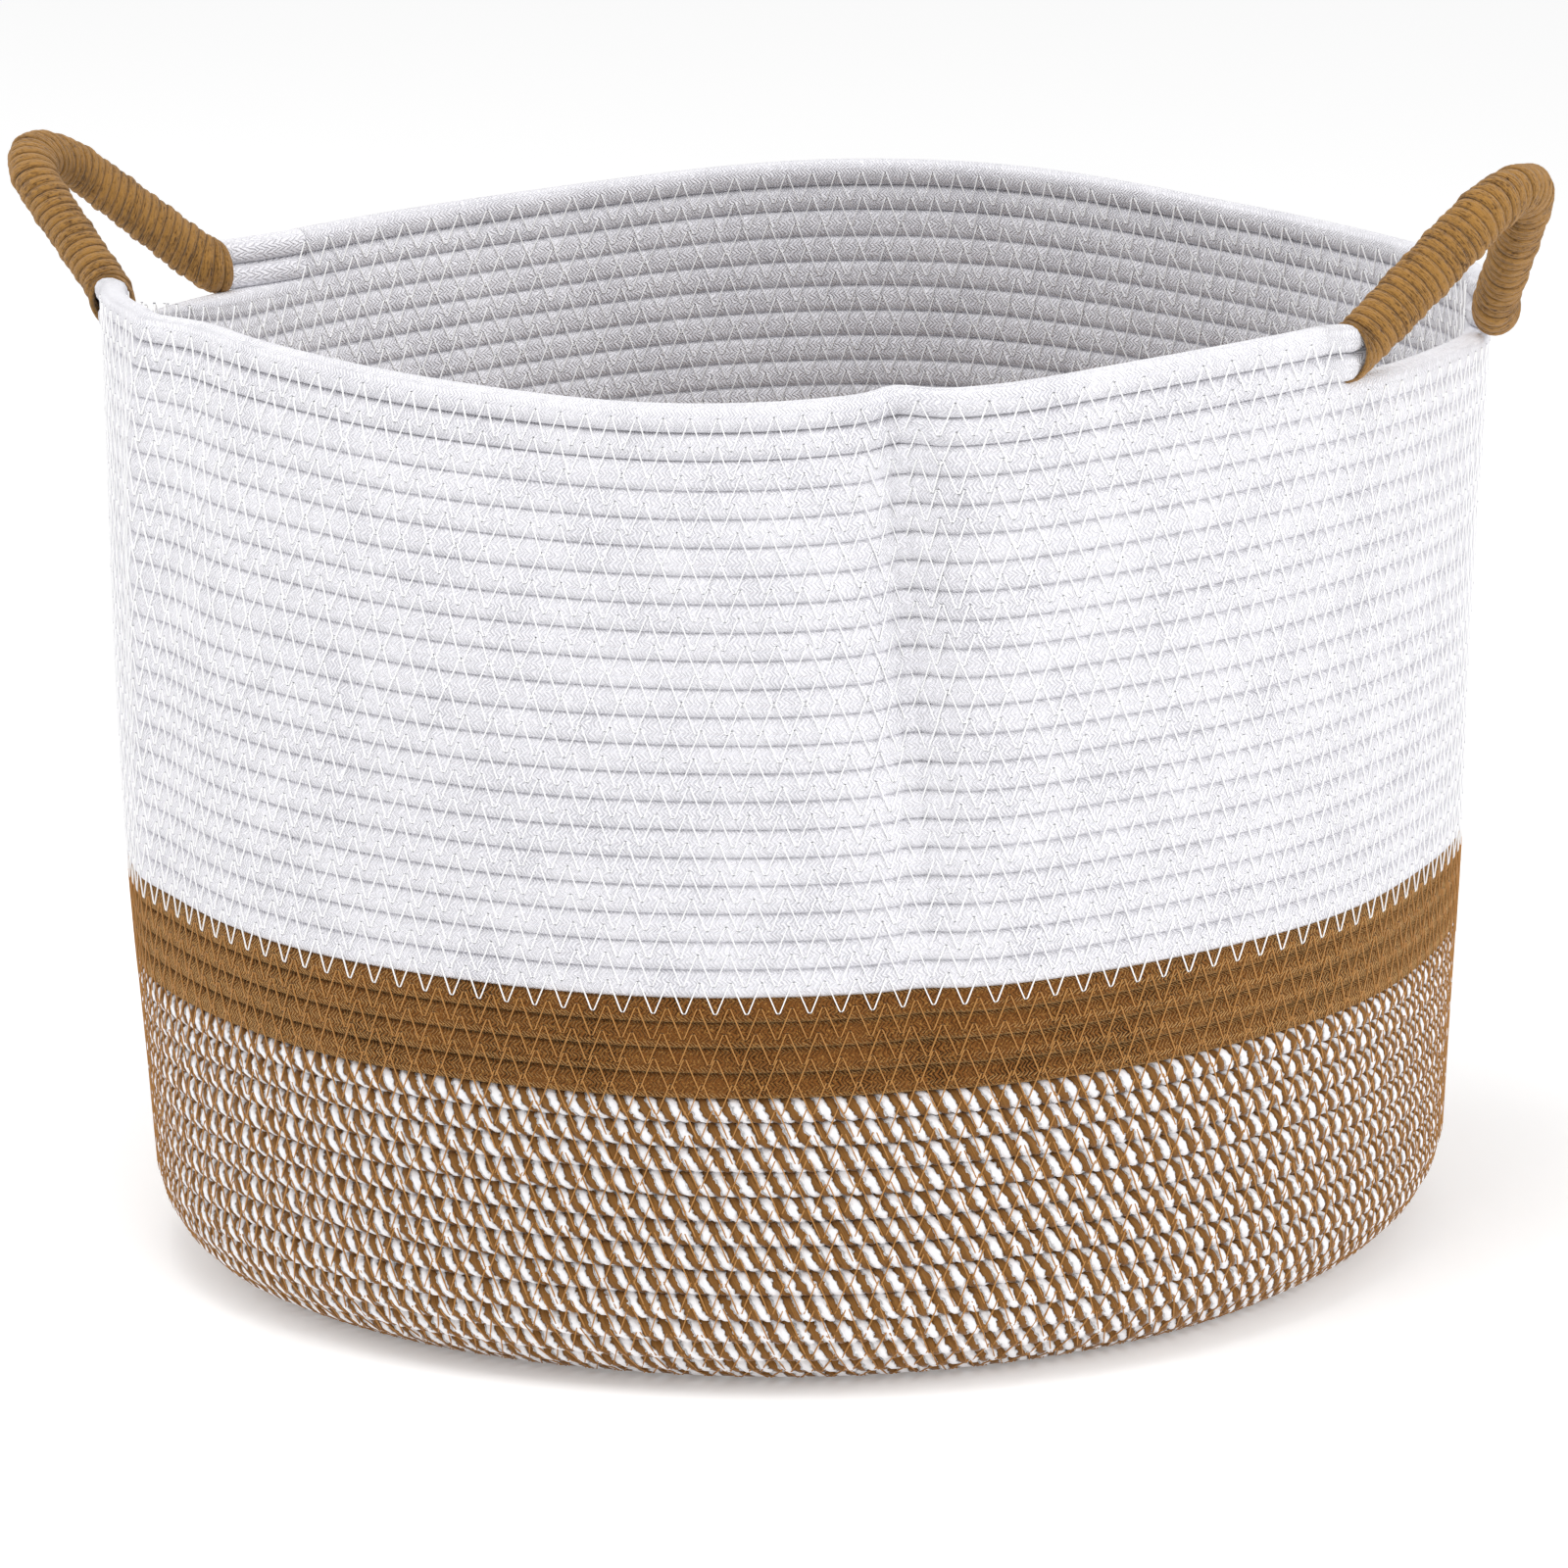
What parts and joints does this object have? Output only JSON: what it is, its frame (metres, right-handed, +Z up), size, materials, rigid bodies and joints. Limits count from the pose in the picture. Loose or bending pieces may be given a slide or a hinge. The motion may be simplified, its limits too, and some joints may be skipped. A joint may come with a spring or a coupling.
{
  "type": "laundry basket",
  "caption": "Round-bodied soft laundry basket of coiled cotton rope, with a long oval mouth, bands of brown and two-tone rope, and rope handles wrapped in yarn that fold.",
  "frame": {"origin": "on the floor, under the middle of the basket", "axes": "+X to the right handle, +Y to the back of the basket, +Z up"},
  "size_m": [0.6017, 0.486, 0.4097],
  "materials": {
    "white_rope": "matt braided cotton rope",
    "brown_rope": "matt braided cotton rope",
    "two_tone_rope": "matt cotton rope twisted from brown and white strands",
    "brown_yarn": "fibrous wrapped yarn",
    "white_thread": "sewing thread",
    "brown_thread": "sewing thread"
  },
  "bodies": {
    "basket": {"base_coil": "two_tone_rope", "lower_band_coil": "two_tone_rope", "brown_band_coil": "brown_rope", "white_band_coil": "white_rope", "rim_coil_front": "white_rope", "rim_coil_back": "white_rope", "white_seam_thread": "white_thread", "brown_seam_thread": "brown_thread"},
    "right_handle": {"right_handle_upper_rope": "white_rope", "right_handle_lower_rope": "white_rope", "right_handle_wrap": "brown_yarn"},
    "left_handle": {"left_handle_upper_rope": "white_rope", "left_handle_lower_rope": "white_rope", "left_handle_wrap": "brown_yarn"}
  },
  "joints": [
    {"name": "right_handle_fold", "type": "hinge", "parent": "basket", "child": "right_handle", "pos_m": [0.23935, 0, 0.34812], "axis": [0, 0.9984, -0.0559], "range_deg": [-71, 34], "stiffness_Nm_per_rad": 0.2},
    {"name": "left_handle_fold", "type": "hinge", "parent": "basket", "child": "left_handle", "pos_m": [-0.23935, 0, 0.33388], "axis": [0, -0.9984, 0.0559], "range_deg": [-88, 17], "stiffness_Nm_per_rad": 0.2}
  ]
}
